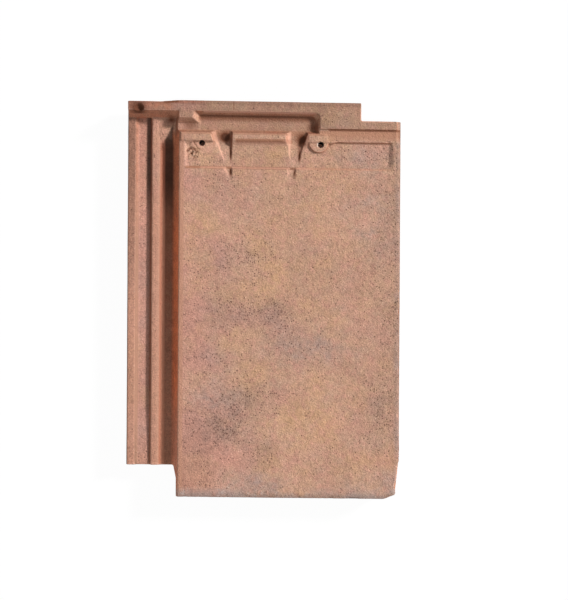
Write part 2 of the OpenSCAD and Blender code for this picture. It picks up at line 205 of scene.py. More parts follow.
def share(name, description, default, most=1.0):
    """A plain share or strength, as a property."""
    return FloatProperty(name=name, description=description, default=default, min=0.0, max=most)


def turn(name, description, degrees):
    """An angle, as a property."""
    return FloatProperty(
        name=name, description=description, default=math.radians(degrees), subtype="ANGLE")


class TileShapeSettings(bpy.types.PropertyGroup):
    """How pressing, firing and wear changed the shape of the tile"""

    voxel: length("Mesh step", "Size of the steps in which the surface is rebuilt", 0.75 * MM)
    softness: IntProperty(
        name="Edge softness", description="How far the pressed edges are rounded", default=1, min=0, max=20)
    triangles: IntProperty(
        name="Triangles", description="Most triangles in the finished tile", default=186000, min=20000)
    swell_height: length("Swell height", "Height of the broad unevenness of the face", 0.35 * MM)
    swell_size: length("Swell size", "Width of the broad unevenness of the face", 45 * MM)
    pit_depth: length("Pit depth", "Depth of the small pits in the face", 0.45 * MM)
    pit_spacing: length("Pit spacing", "Distance between the small pits", 9 * MM)
    chip_depth: length("Chip depth", "Depth of the chips along worn edges", 1.3 * MM)
    chip_size: length("Chip size", "Width of the chips along worn edges", 11 * MM)
    rough_height: length("Rough patch height", "Height of the torn clay beside the left boss", 2.0 * MM)
    burr_height: length("Burr height", "Height of the burr beside the right nail hole", 0.25 * MM)
    silt_depth: length("Silt depth", "Depth of the silt in the side channels", 1.4 * MM)
    edge_wear: length("Edge wear", "How far the covering edge is worn back at the tail", 3.6 * MM)
    skew: FloatProperty(
        name="Skew", description="Slope of the head and tail edges that firing left", default=0.0087)
    taper: FloatProperty(
        name="Taper", description="Change of that slope for each metre along the tile", default=0.016)


class ClayFinishSettings(bpy.types.PropertyGroup):
    """Colours and grain of the fired clay"""

    buff: colour("Buff coat", "Main colour of the sanded face", (0.52, 0.3, 0.196))
    rose: colour("Rose coat", "Pinker clouds in the sanded face", (0.53, 0.265, 0.2))
    straw: colour("Straw coat", "Yellower clouds in the sanded face", (0.55, 0.315, 0.172))
    mauve: colour("Mauve haze", "Greyer mottling in the sanded face", (0.4, 0.27, 0.23))
    smoke: colour("Smoke", "Kiln smoke in cloudy patches", (0.22, 0.15, 0.125))
    speck: colour("Specks", "Dark iron specks", (0.105, 0.05, 0.033))
    pale: colour("Pale grains", "Light sand grains", (0.74, 0.53, 0.38))
    brown: colour("Pressed walls", "Clay on the pressed walls, thinly coated", (0.43, 0.205, 0.125))
    bare: colour("Bare clay", "Bare clay on the wall beside the side channel", (0.82, 0.24, 0.105))
    red: colour("Red clay", "Redder streaks on the walls", (0.44, 0.13, 0.07))
    # A darker colour on the lit slopes of the lock: painted shade that tones down their light
    thin: colour("Thin coat", "Thin coat on the lit slopes of the lock", (0.31, 0.168, 0.112))
    # Also laid as a painted highlight on the burr's lit side beside the right nail hole
    chalk_and_highlight: colour("Chalk", "Chalky burr beside the right nail hole", (0.86, 0.76, 0.68))
    salmon: colour("Rubbed edges", "Clay where the edges are rubbed", (0.66, 0.35, 0.25))
    # Also the colour of the painted shade and shadows in the hollows, gutters and channels
    dirt_and_shade: colour("Dirt", "Dust and soot in the hollows", (0.17, 0.056, 0.026))
    lime: colour("Lime bloom", "Pale bloom along the tail edge", (0.365, 0.285, 0.26))
    speck_spacing: length("Speck spacing", "Distance between the dark specks", 2.2 * MM)
    sand_size: length("Sand size", "Width of the sand grain", 1.5 * MM)
    sand_height: length("Sand height", "Height of the sand grain", 0.5 * MM)
    roughness: share("Roughness", "Roughness of the matt clay", 0.88)


class StudioSettings(bpy.types.PropertyGroup):
    """Camera, floor and light"""

    key_strength: FloatProperty(name="Key light", description="Strength of the key light", default=4.65)
    key_azimuth: turn("Key azimuth", "Where the key light stands, from +X toward +Y", 28)
    key_height: turn("Key height", "How high the key light stands", 27)
    key_softness: turn("Key softness", "Angle over which the key light spreads", 8)
    fill: share("Fill light", "Strength of the light from all round", 0.18)
    tail_strength: FloatProperty(
        name="Tail light", description="Strength of the soft light from beyond the tail", default=0.9)
    tail_height: turn("Tail light height", "How high the light beyond the tail stands", 30)
    tail_softness: turn("Tail light softness", "Angle over which the light beyond the tail spreads", 90)
    floor: colour("Floor", "Colour of the pale floor", (0.9, 0.9, 0.9))
    floor_shade: share("Floor shade", "How strongly the floor shows the tile's shadow", 0.045)
    camera_height: length("Camera height", "Height of the camera over the face", 1.6)
    pixel: length("Picture scale", "Length on the face that one picture point covers", 1.06 * MM)
    camera_x: length("Camera place across", "Where the camera stands across the tile", 22.3 * MM)
    camera_y: length("Camera place along", "Where the camera stands along the tile", -0.25 * MM)
    camera_roll: turn("Camera roll", "Turn of the camera about its view", 0.33)


class RoofTileSettings(bpy.types.PropertyGroup):
    """All settings of the roof tile"""

    shape: PointerProperty(type=TileShapeSettings)
    finish: PointerProperty(type=ClayFinishSettings)
    studio: PointerProperty(type=StudioSettings)


class Value:
    """A number in a node tree: sums written on it add Math nodes."""

    def __init__(self, bench, socket):
        self.bench = bench
        self.socket = socket

    def _sum(self, operation, *terms):
        return self.bench.value("ShaderNodeMath", {"operation": operation}, dict(enumerate(terms)))

    def __add__(self, other):
        return self._sum("ADD", self, other)

    __radd__ = __add__

    def __sub__(self, other):
        return self._sum("SUBTRACT", self, other)

    def __rsub__(self, other):
        return self._sum("SUBTRACT", other, self)

    def __mul__(self, other):
        return self._sum("MULTIPLY", self, other)

    __rmul__ = __mul__

    def __truediv__(self, other):
        return self._sum("DIVIDE", self, other)

    def __rtruediv__(self, other):
        return self._sum("DIVIDE", other, self)

    def __pow__(self, other):
        return self._sum("POWER", self, other)

    def __or__(self, other):
        return self._sum("MAXIMUM", self, other)


class Bench:
    """One node tree, with the few kinds of step that the clay is made with."""

    def __init__(self, tree):
        self.tree = tree
        tree.nodes.clear()

    def node(self, kind, settings=None, sockets=None):
        """Adds a node: its settings first, then the values or links of its sockets."""
        node = self.tree.nodes.new(kind)
        for name, setting in (settings or {}).items():
            setattr(node, name, setting)
        for key, given in (sockets or {}).items():
            socket = self.input(node, key)
            given = given.socket if isinstance(given, Value) else given
            if isinstance(given, bpy.types.NodeSocket):
                self.tree.links.new(given, socket)
            else:
                socket.default_value = given
        return node

    @staticmethod
    def input(node, key):
        """A node's input by its number or its name, in use."""
        if isinstance(key, int):
            return node.inputs[key]
        return next(s for s in node.inputs if s.name == key and s.enabled)

    @staticmethod
    def output(node, name=None):
        """A node's first output in use, or the one with this name."""
        return next(s for s in node.outputs if s.enabled and name in (None, s.name))

    def value(self, kind, settings=None, sockets=None, name=None):
        """Adds a node and gives an output of it as a number."""
        return Value(self, self.output(self.node(kind, settings, sockets), name))

    def step(self, value, low, high, start=0.0, end=1.0):
        """A smooth step from start to end while the value goes from low to high."""
        return self.value(
            "ShaderNodeMapRange", {"interpolation_type": "SMOOTHSTEP"},
            {"Value": value, "From Min": low, "From Max": high, "To Min": start, "To Max": end})

    def band(self, value, middle, half, soft):
        """1 within half of the middle, and 0 beyond that and the soft edge."""
        away = self.value("ShaderNodeMath", {"operation": "ABSOLUTE"}, {0: value - middle})
        return self.step(away, half + soft, half)

    def vector(self, operation, first, second):
        """The vector that an operation on two vectors gives."""
        return self.output(
            self.node("ShaderNodeVectorMath", {"operation": operation}, {0: first, 1: second}))

    def scaled(self, vector, value):
        """A vector times a number."""
        return self.output(self.node(
            "ShaderNodeVectorMath", {"operation": "SCALE"}, {"Vector": vector, "Scale": value}))

    def parts(self, vector):
        """The three numbers in a vector."""
        split = self.node("ShaderNodeSeparateXYZ", None, {0: vector})
        return [Value(self, socket) for socket in split.outputs]

    def noise(self, at, size, detail=2.0, roughness=0.5, shift=0.0):
        """Cloudy noise from 0 to 1, with clouds of about this size; a shift gives other clouds."""
        moved = self.vector("ADD", at, (shift, shift, shift))
        return self.value(
            "ShaderNodeTexNoise", None,
            {"Vector": moved, "Scale": 1.0 / size, "Detail": detail, "Roughness": roughness})

    def cells(self, at, spacing):
        """Scattered points: distance to the nearest, as a share of the spacing, and its chance."""
        node = self.node("ShaderNodeTexVoronoi", None, {"Vector": at, "Scale": 1.0 / spacing})
        chance = self.parts(self.output(node, "Color"))[0]
        return Value(self, self.output(node, "Distance")), chance

    def away(self, x, y, place):
        """Distance from a place on the face."""
        return ((x - place[0]) ** 2 + (y - place[1]) ** 2) ** 0.5

    def spot(self, x, y, middle, reach):
        """A soft round or oval spot: 1 in the middle and 0 from its reach on."""
        across = (x - middle[0]) / reach[0]
        along = (y - middle[1]) / reach[1]
        return self.step((across * across + along * along) ** 0.5, 1.0, 0.0)

    def mix(self, first, second, factor, blend="MIX"):
        """A colour between two colours."""
        return self.output(self.node(
            "ShaderNodeMix", {"data_type": "RGBA", "blend_type": blend, "clamp_factor": True},
            {"Factor": factor, "A": rgba(first), "B": rgba(second)}))

    def shade(self, colour, value):
        """A colour made darker or lighter by a number."""
        return self.mix(colour, value.socket, 1.0, "MULTIPLY")


def rgba(given):
    """A colour setting as a node's four numbers; a socket stays as it is."""
    if isinstance(given, bpy.types.NodeSocket):
        return given
    return (*given, 1.0)


def relief_tree(names):
    """Geometry nodes that soften, swell, pit and wear the pressed surface."""
    tree = bpy.data.node_groups.new("fired_clay_relief", "GeometryNodeTree")
    tree.is_modifier = True
    bench = Bench(tree)
    add = tree.interface.new_socket
    add(name="Geometry", in_out="OUTPUT", socket_type="NodeSocketGeometry")
    add(name="Geometry", in_out="INPUT", socket_type="NodeSocketGeometry")
    add(name="Edge Softness", in_out="INPUT", socket_type="NodeSocketInt")
    for name in names:
        add(name=name, in_out="INPUT", socket_type="NodeSocketFloat")
    add(name="Clay", in_out="INPUT", socket_type="NodeSocketMaterial")
    given = bench.node("NodeGroupInput").outputs
    take = {name: Value(bench, given[name]) for name in names}

    position = bench.output(bench.node("GeometryNodeInputPosition"))
    normal = bench.output(bench.node("GeometryNodeInputNormal"))
    x, y, z = bench.parts(position)

    def blurred(iterations):
        return bench.output(bench.node(
            "GeometryNodeBlurAttribute", {"data_type": "FLOAT_VECTOR"},
            {"Value": position, "Iterations": iterations}))

    ring = bench.band(bench.away(x, y, BOSS_LEFT), BOSS_R + 1 * MM, 3.5 * MM, 2 * MM)
    ring = ring * bench.step(y, NAIL_LEFT[1] + 1 * MM, NAIL_LEFT[1] - 3 * MM)
    seat_end = bench.band(x, SEAT_RIGHT_X, 5 * MM, 2 * MM)
    seat_end = seat_end * bench.band(y, SEAT_Y - 3.5 * MM, 11 * MM, 4 * MM)
    soft = (ring | seat_end) * bench.step(bench.away(x, y, NAIL_LEFT), 5 * MM, 8 * MM)
    rounded = bench.output(bench.node(
        "ShaderNodeMix", {"data_type": "VECTOR"},
        {"Factor": soft, "A": blurred(given["Edge Softness"]), "B": blurred(SOFT_STEPS)}))
    clay = bench.output(bench.node(
        "GeometryNodeSetPosition", None, {"Geometry": given["Geometry"], "Position": rounded}))

    # What the finish needs to know: the place along the tile, how the surface lies, edges and hollows
    lie = bench.parts(normal)[2]
    bend = bench.value(
        "ShaderNodeVectorMath", {"operation": "DOT_PRODUCT"},
        {0: bench.vector("SUBTRACT", blurred(CURVE_STEPS), position), 1: normal}, "Value")
    edge = bench.step(bend, -CURVE_START, -CURVE_FULL)
    hollow = bench.step(bend, CURVE_START, CURVE_FULL)
    for name, number in (("along", y), ("lie", lie), ("edge", edge), ("hollow", hollow)):
        clay = bench.output(bench.node(
            "GeometryNodeStoreNamedAttribute", {"data_type": "FLOAT", "domain": "POINT"},
            {"Geometry": clay, "Name": name, "Value": number}))

    # Heights along the surface's own direction
    top = bench.step(lie, 0.4, 0.85)
    swell = (bench.noise(position, take["Swell Size"]) - 0.5) * take["Swell Height"]
    near, chance = bench.cells(position, take["Pit Spacing"])
    pits = bench.step(near, 0.17, 0.04) * bench.step(chance, 0.5, 0.6) * take["Pit Depth"] * top
    torn = bench.spot(x, y, TORN_PLACE, TORN_REACH) * top
    crumbs = bench.step(bench.noise(position, TORN_GRAIN, 2.0), 0.36, 0.64)
    rough = (crumbs - 0.75) * torn * take["Rough Height"]
    chip = bench.step(bench.noise(position, take["Chip Size"], 3.0, 0.6, 0.37), 0.52, 0.68)
    brittle = bench.step(x, RIGHT_X - 25 * MM, RIGHT_X - 15 * MM)
    brittle = brittle | bench.step(y, TAIL_Y + 15 * MM, TAIL_Y + 8 * MM)
    chips = edge * chip * brittle * take["Chip Depth"]
    height = swell - pits + rough - chips
    burr = bench.band(bench.away(x, y, NAIL_RIGHT), BURR_R, 0.0, BURR_W)
    burr = burr * bench.step(x, NAIL_RIGHT[0] + 1 * MM, NAIL_RIGHT[0] - 2 * MM)
    height = height + burr * top * take["Burr Height"]

    # The covering edge worn back at the tail, its corner lost, the ends out of square,
    # and the right part of the cross rib's foot a little nearer to the head
    ragged = (bench.noise(position, RAGGED_SIZE, 3.0, 0.6, 0.11) - 0.5) * RAGGED_DEPTH
    worn = take["Edge Wear"] * bench.step(y, WEAR_START, WEAR_END)
    worn = worn + ragged * bench.step(y, RAGGED_START, RAGGED_END)
    shift_x = worn * bench.step(x, WEAR_INNER, RIGHT_X) * -1.0
    corner = bench.step(x, CORNER_INNER, RIGHT_X) * bench.step(y, CORNER_START, CORNER_END)
    shift_y = corner * CORNER_LOSS - x * (take["Skew"] + take["Taper"] * y)
    rib_foot = bench.band(y, RIB_TAIL_Y - 1.5 * MM, 2.5 * MM, 4 * MM)
    rib_foot = rib_foot * bench.step(x, RIB_BREAK_X + 5 * MM, RIB_BREAK_X + 12 * MM)
    rib_foot = rib_foot * bench.step(z, FACE_Z - 3 * MM, FACE_Z - 2 * MM)
    shift_y = shift_y + rib_foot * RIB_FOOT_SHIFT

    # Bosses lower than pressed, and silt in the side channels
    low_left = bench.step(bench.away(x, y, BOSS_LEFT), BOSS_R + 3 * MM, BOSS_R + 1.5 * MM) * 0.85
    low_right = bench.step(bench.away(x, y, BOSS_RIGHT), BOSS_R + 3 * MM, BOSS_R + 1.5 * MM) * 0.42
    over_seat = bench.value("ShaderNodeMath", {"operation": "MAXIMUM"}, {0: z - SEAT_Z, 1: 0.0})
    sunk = (low_left | low_right) * over_seat * bench.step(y, RIB_TAIL_Y + 1 * MM, RIB_TAIL_Y - 1 * MM)
    silt = bench.band(x, OUTER_CHANNEL_X - 0.5 * MM, 7.5 * MM, 2.5 * MM)
    silt = silt * bench.step(z, LOCK_Z + 4 * MM, LOCK_Z + 1 * MM) * top
    silt = silt * bench.step(y, -100 * MM, -170 * MM)
    bank = bench.band(x, INNER_SLOPE_X + 2.4 * MM, 0.8 * MM, 2.4 * MM)
    bank = bank * bench.step(z, LOCK_Z + 4 * MM, LOCK_Z + 3 * MM) * top
    bank = bank * bench.step(y, 130 * MM, 90 * MM)
    silt = (silt | bank * 0.55) * take["Silt Depth"]
    aside = bench.output(bench.node(
        "ShaderNodeCombineXYZ", None, {0: shift_x, 1: shift_y, 2: silt - sunk}))
    offset = bench.vector("ADD", bench.scaled(normal, height), aside)
    clay = bench.output(bench.node(
        "GeometryNodeSetPosition", None, {"Geometry": clay, "Offset": offset}))

    clay = bench.output(bench.node("GeometryNodeSetShadeSmooth", None, {"Geometry": clay}))
    clay = bench.output(bench.node("GeometryNodeRealizeInstances", None, {"Geometry": clay}))
    clay = bench.output(bench.node(
        "GeometryNodeSetMaterial", None, {"Geometry": clay, "Material": given["Clay"]}))
    bench.node("NodeGroupOutput", None, {"Geometry": clay})
    return tree


class FiredClay:
    """Colours of the fired clay, each laid over the one before it."""

    def __init__(self, bench, finish):
        self.bench = bench
        self.finish = finish
        self.at = bench.output(bench.node("ShaderNodeTexCoord"), "Object")
        self.x, _, self.z = bench.parts(self.at)
        self.y = self.kept("along")
        self.lie = self.kept("lie")
        x, y, z = self.x, self.y, self.z

        # Grain: the sand, small patches, and how light or dark they make the clay
        self.sand = self.noise(finish.sand_size, 2.0, 0.6, 3.3)
        self.patchy = self.noise(7 * MM, 3.0, 0.6, 9.1)
        cloud = self.noise(50 * MM, 3.0, 0.55, 5.6)
        self.tooth = 1.04 + (self.sand - 0.5) * 1.15 + (self.patchy - 0.5) * 0.6 + (cloud - 0.5) * 0.35

        # Places: the upper side, the lock and its outer rib, and the head's channel, ribs and seat edge
        self.upper = bench.step(z, LOCK_Z - 3 * MM, LOCK_Z - 1 * MM) * bench.step(self.lie, -0.5, -0.2)
        self.below_head = bench.step(y, CROSS_RIB_Y + 6 * MM, CROSS_RIB_Y - 4 * MM) * self.upper
        self.lock = bench.step(x, PANEL_X - 10 * MM, OUTER_RIB_X) * bench.step(y, 20 * MM, 160 * MM)
        self.outer_rib = bench.step(x, OUTER_SLOPE_X + 0.5 * MM, OUTER_RIB_X + 0.5 * MM)
        channel = bench.step(z, CHANNEL_Z + 2.5 * MM, CHANNEL_Z + 0.5 * MM)
        channel = channel * bench.step(x, PANEL_X, PANEL_X + 9 * MM)
        self.head_channel = channel * bench.step(y, CROSS_RIB_Y - 14 * MM, CROSS_RIB_Y)
        self.right = bench.step(x, RIB_BREAK_X, RIB_BREAK_X + 5 * MM)
        self.rib_back = bench.band(y, CROSS_RIB_Y + 1 * MM, 2 * MM, 1.5 * MM) * 0.7
        # Bands of painted shade: on the cross rib's tail slope, and on the lit step at the seat's edge
        rib_front_shade = bench.band(y, RIB_TAIL_Y + 1 * MM, 1.6 * MM, 1.2 * MM)
        self.rib_front_shade = rib_front_shade * bench.band(x, 0.0, 29 * MM, 2 * MM)
        seat_edge_shade = bench.band(y, SEAT_END_Y + 0.6 * MM, 1 * MM, 0.8 * MM)
        self.seat_edge_shade = seat_edge_shade * bench.band(x, 26 * MM, 108 * MM, 3 * MM)

        # Thinly coated clay of the pressed walls
        self.streak = bench.step(self.noise(16 * MM, 3.0, 0.6, 4.2), 0.4, 0.7)
        pressed = bench.mix(finish.brown, finish.red, self.streak * 0.4 + self.lock * 0.3)
        self.pressed = bench.shade(bench.shade(pressed, self.tooth), 1.0 - self.rib_back * 0.45)

    def kept(self, name):
        """A number that the relief left on the mesh."""
        return self.bench.value("ShaderNodeAttribute", {"attribute_name": name}, None, "Fac")

    def noise(self, *terms):
        """Cloudy noise on the tile."""
        return self.bench.noise(self.at, *terms)

    def away(self, place):
        """Distance from a place on the face."""
        return self.bench.away(self.x, self.y, place)

    def spot(self, place, reach):
        """A soft spot on the face."""
        return self.bench.spot(self.x, self.y, place, reach)

    def clouds(self, spots):
        """Soft spots on the face, added up with their strengths."""
        total = 0.0
        for place, reach, strength in spots:
            total = self.spot(place, reach) * strength + total
        return total

    def sanded_coat(self):
        """Clouds of the sanded coat, redder on the lock and browner where it is worn."""
        bench, finish, x, y = self.bench, self.finish, self.x, self.y
        left = bench.step(x, 20 * MM, -85 * MM) * bench.step(y, 190 * MM, 20 * MM)
        low_left = bench.step(x, -20 * MM, -70 * MM) * bench.step(y, -100 * MM, -170 * MM)
        blotch = bench.step(self.noise(36 * MM, 4.0, 0.55, 0.9), 0.3, 0.7) - 0.5
        border = bench.step(x, -55 * MM, PANEL_X + 2 * MM) * 0.5
        coat = bench.mix(finish.buff, finish.rose, left * 0.6 + low_left * 0.9 + border + blotch * 1.2)
        ripple = bench.step(self.noise(44 * MM, 4.0, 0.55, 1.9), 0.3, 0.7) - 0.5
        coat = bench.mix(coat, finish.straw, self.clouds(STRAW) * 0.85 + ripple)
        haze = bench.step(self.noise(32 * MM, 5.0, 0.65, 0.8), 0.36, 0.78)
        coat = bench.mix(coat, finish.mauve, haze * 0.42 + self.clouds(MAUVE) * (0.5 + haze))
        flush = bench.step(self.noise(8 * MM, 3.0, 0.6, 1.4), 0.42, 0.72)
        coat = bench.mix(coat, finish.rose, flush * 0.6)
        rim = bench.step(x, RIGHT_X - 8 * MM, RIGHT_X - 2 * MM) * bench.step(haze, 0.0, 0.6, 0.3, 0.8)
        coat = bench.mix(coat, finish.mauve, rim)
        coat = bench.mix(coat, bench.mix(finish.rose, finish.red, 0.2), self.lock * 0.75)
        inner_rib = bench.band(x, INNER_RIB_FOOT_X + 4 * MM, 5 * MM, 1 * MM)
        inner_rib = inner_rib * bench.step(y, 140 * MM, 90 * MM)
        worn = bench.mix(finish.salmon, finish.brown, 0.75)
        coat = bench.mix(coat, worn, self.outer_rib * 0.65 | inner_rib * 0.7)
        low_corner = bench.step(x, -35 * MM, -85 * MM) * bench.step(y, -130 * MM, -190 * MM)
        return bench.mix(coat, bench.mix(finish.brown, finish.rose, 0.45), low_corner * 0.8)

    def smoke_and_grain(self, coat):
        """Kiln smoke and the specks that go with it, pale grains, and sand."""
        bench, finish = self.bench, self.finish
        smoke = bench.step(self.noise(14 * MM, 4.0, 0.65, 2.1), 0.25, 0.7, 0.4, 1.6) * self.clouds(SMOKE)
        coat = bench.mix(coat, finish.smoke, smoke * 0.42)
        near, chance = bench.cells(self.at, finish.speck_spacing)
        clump = bench.step(self.noise(11 * MM, 3.0, 0.6, 2.7), 0.35, 0.7)
        dense = 0.92 - clump * 0.12 - smoke * (0.45 + clump)
        speck = bench.step(near, 0.46, 0.2) * bench.step(chance, dense, dense + 0.12)
        coat = bench.mix(coat, finish.speck, speck * 0.8)
        near, chance = bench.cells(bench.vector("ADD", self.at, (0.3, 0.3, 0.3)), finish.speck_spacing)
        grit = bench.step(near, 0.4, 0.15) * bench.step(chance, 0.85, 0.93)
        return bench.shade(bench.mix(coat, finish.pale, grit * 0.35), self.tooth)

    def head_tones(self, coat):
        """A duller head, channel and outer rib, a red stop, browner clay on the cross rib, and painted
        shade on the seat, on the cross rib's tail slope and along the seat's edge.
        """
        bench, finish, x, y = self.bench, self.finish, self.x, self.y
        raised = bench.step(self.z, FACE_Z + 0.7 * MM, FACE_Z + 1.9 * MM)
        dull = raised * bench.step(y, CROSS_RIB_Y + 4 * MM, CROSS_RIB_Y + 8 * MM, 0.08, 0.28)
        dull = dull * bench.step(x, RIB_BREAK_X, RIB_BREAK_X + 5 * MM, 1.0, 0.7)
        outer = self.outer_rib * bench.step(y, -40 * MM, 130 * MM, 0.03, 0.36)
        # A little painted shade on the seat
        seat = bench.band(y, SEAT_Y, 11.5 * MM, 3 * MM) * bench.band(x, -2 * MM, 31 * MM, 2 * MM)
        coat = bench.shade(coat, 1.0 - (dull | outer | self.head_channel * 0.2 | seat * 0.07))
        stop_top = raised * bench.step(x, PANEL_X, PANEL_X - 9 * MM) * 0.8
        blush = bench.step(y, HEAD_Y - 5 * MM, HEAD_Y - 2 * MM) * bench.step(x, -50 * MM, -80 * MM)
        blush = (blush | stop_top) * bench.step(self.patchy, 0.35, 0.6, 0.2, 0.55)
        coat = bench.mix(coat, finish.red, blush)
        brown = self.right * bench.band(y, CROSS_RIB_Y - 0.5 * MM, 5 * MM, 3 * MM)
        brown = brown * bench.step(y, CROSS_RIB_Y - 5 * MM, CROSS_RIB_Y, 0.5, 0.8)
        # Painted shade, in brown, on the cross rib's tail slope and at the seat's edge
        brown = brown | self.rib_back | self.head_channel * 0.2 | self.rib_front_shade
        brown = brown | self.seat_edge_shade * bench.step(x, 30 * MM, 50 * MM, 1.0, 0.35)
        return bench.mix(coat, finish.brown, brown * bench.step(x, PANEL_X, PANEL_X + 4 * MM))

    def pressed_walls(self, clay):
        """The thinly coated walls, and a line of painted shade at the seat's edge."""
        bench, x = self.bench, self.x
        clay = bench.mix(clay, self.pressed, bench.step(self.lie, 0.9, 0.55))
        # Painted shade on the lit step at the seat's edge
        line = bench.band(x, 0.0, 33 * MM, 2 * MM) * 0.24 | bench.step(x, -30 * MM, -40 * MM) * 0.1
        return bench.shade(clay, 1.0 - self.seat_edge_shade * line)

    def lock_walls(self, clay):
        """Slopes of the lock's ribs, with painted shade on their lit slopes and painted light at the inner
        channel's foot, and bare clay on the wall beside the inner channel.
        """
        bench, finish, x, y, lie = self.bench, self.finish, self.x, self.y, self.lie
        below_spill = bench.step(y, CROSS_RIB_Y - 4 * MM, CROSS_RIB_Y - 16 * MM) * self.upper
        # Painted shade on the lit outer slope
        slope = bench.band(x, OUTER_SLOPE_X, 2 * MM, 1 * MM) * bench.step(lie, 0.97, 0.85)
        slope = slope * bench.step(y, 170 * MM, 50 * MM, 0.2, 0.8) * self.upper
        clay = bench.mix(clay, finish.thin, slope)
        slope = bench.band(x, INNER_SLOPE_X - 1.4 * MM, 0.9 * MM, 0.6 * MM) * below_spill
        clay = bench.mix(clay, bench.mix(finish.brown, finish.red, 0.5), slope * 0.9)
        # Painted light on the slope at the inner channel's foot, where it lies in the panel's shadow
        foot = bench.band(x, INNER_SLOPE_X + 1.7 * MM, 1.6 * MM, 0.8 * MM) * below_spill
        foot_light_clay = bench.mix(bench.mix(finish.salmon, finish.bare, 0.4), finish.brown, 0.35)
        foot_light_clay = bench.mix(foot_light_clay, finish.red, bench.step(y, 85 * MM, 130 * MM) * 0.7)
        clay = bench.mix(clay, foot_light_clay, foot * 0.9)
        # Painted shade on the inner rib's lit shoulder
        shoulder = bench.band(x, INNER_SLOPE_X - 3.4 * MM, 1.2 * MM, 1 * MM) * self.below_head
        clay = bench.mix(clay, finish.thin, shoulder * 0.5)
        bare = bench.mix(finish.bare, finish.red, self.streak * 0.5)
        bare = bench.mix(bare, finish.brown, bench.step(y, 60 * MM, 130 * MM) * 0.5)
        bare = bench.mix(bare, finish.salmon, bench.step(y, -80 * MM, -150 * MM) * 0.5)
        wall = bench.band(x, PANEL_X - 3.4 * MM, 3.8 * MM, 1 * MM) * self.below_head
        wall = wall * bench.step(lie + (x - PANEL_X - 1 * MM) * 100.0, 0.97, 0.7)
        return bench.mix(clay, bench.shade(bare, self.tooth), wall)

    def rubbed_edges(self, clay):
        """Edges rubbed to the clay, painted light on the top of the head channel's wall, painted shade with
        some grime along the outer edges and on the tail edge, and a painted highlight at the right nail
        hole.
        """
        bench, finish, x, y, lie = self.bench, self.finish, self.x, self.y, self.lie
        rub = bench.step(self.kept("edge") + (self.noise(8 * MM, 3.0, 0.6, 5.0) - 0.5) * 0.5, 0.3, 0.8)
        rub = rub * bench.step(lie, 0.35, 0.7) * bench.step(y, HEAD_Y - 3 * MM, HEAD_Y - 6 * MM)
        rub = rub * (0.6 - self.rib_back * 0.8) * bench.step(x, RIGHT_X - 6 * MM, RIGHT_X - 10 * MM)
        rub = rub * (1.0 - bench.band(y, SEAT_END_Y, 2 * MM, 1 * MM))
        bank = bench.step(lie, 0.99, 0.95) * bench.step(lie, 0.6, 0.75)
        bank = bank * bench.step(self.z, FACE_Z + 1 * MM, FACE_Z)
        bank = bank * bench.band(y, 150 * MM, 26 * MM, 3 * MM) * bench.band(x, -8 * MM, 57 * MM, 4 * MM)
        rub = rub | bank * 0.5
        rub = rub * bench.step(self.away(NAIL_RIGHT), NAIL_R + 3 * MM, NAIL_R + 5 * MM)
        # Painted light on the top of the head channel's head wall, which lies in shade
        wall_top_light = bench.band(y, HEAD_RIB_Y, 1.2 * MM, 1 * MM) * bench.step(lie, 0.85, 0.6)
        wall_top_light = wall_top_light * bench.band(x, -3 * MM, 60 * MM, 2 * MM)
        clay = bench.mix(clay, finish.salmon, rub | wall_top_light * 0.8)
        corner = bench.band(x, PANEL_X + 2 * MM, 2 * MM, 2.5 * MM) * bench.step(lie, 0.7, 0.9)
        corner = corner * bench.step(self.z, FACE_Z - 3 * MM, FACE_Z - 1.5 * MM) * self.below_head
        clay = bench.mix(clay, bench.mix(finish.salmon, finish.brown, 0.65), corner * 0.75)
        # Painted shade along the right, head and left edges, which tones down their lit rounding, with some
        # grime on the rim
        edge_shade_and_grime = bench.step(x, RIGHT_X - 2.2 * MM, RIGHT_X - 0.4 * MM)
        edge_shade_and_grime = edge_shade_and_grime | bench.step(y, HEAD_Y - 2.5 * MM, HEAD_Y - 0.5 * MM)
        edge_shade_and_grime = edge_shade_and_grime | bench.step(y, HEAD_Y - 6 * MM, HEAD_Y - 3 * MM) * 0.45
        edge_shade_and_grime = edge_shade_and_grime | bench.step(x, RIGHT_X - 9 * MM, RIGHT_X - 5 * MM) * 0.22
        edge_shade_and_grime = edge_shade_and_grime | bench.step(x, 1.6 * MM - RIGHT_X, 0.3 * MM - RIGHT_X)
        # Painted shade on the rounded tail edge
        tail_edge_shade = bench.step(y, TAIL_Y + 7 * MM, TAIL_Y + 0.5 * MM)
        tail_edge_shade = tail_edge_shade * bench.step(x, PANEL_X, PANEL_X + 2 * MM)
        clay = bench.shade(clay, 1.0 - (edge_shade_and_grime * 0.42 | tail_edge_shade * 0.4))
        # A painted highlight on the burr's lit side beside the right nail hole
        chalk_and_highlight = bench.band(self.away(NAIL_RIGHT), NAIL_R + 1 * MM, 0.4 * MM, 0.4 * MM)
        chalk_and_highlight = chalk_and_highlight * bench.step(x, NAIL_RIGHT[0] - 1.5 * MM, NAIL_RIGHT[0] - 2.5 * MM)
        chalk_and_highlight = chalk_and_highlight * bench.band(y, NAIL_RIGHT[1], 1.4 * MM, 1.2 * MM)
        return bench.mix(clay, finish.chalk_and_highlight, chalk_and_highlight * 0.45)

    def torn_patch(self, clay):
        """Torn clay beside the left boss: painted shade in its holes, pale crumbs, and a painted shadow as
        a dark hook round its head end.
        """
        bench, finish = self.bench, self.finish
        torn = self.spot(TORN_PLACE, TORN_REACH) * self.upper
        crumbs = self.noise(TORN_GRAIN, 2.0)
        # Painted shade in the low spots of the torn clay
        clay = bench.mix(clay, finish.dirt_and_shade, torn * bench.step(crumbs, 0.5, 0.36))
        clay = bench.mix(clay, finish.pale, torn * bench.step(crumbs, 0.56, 0.66) * 0.45)
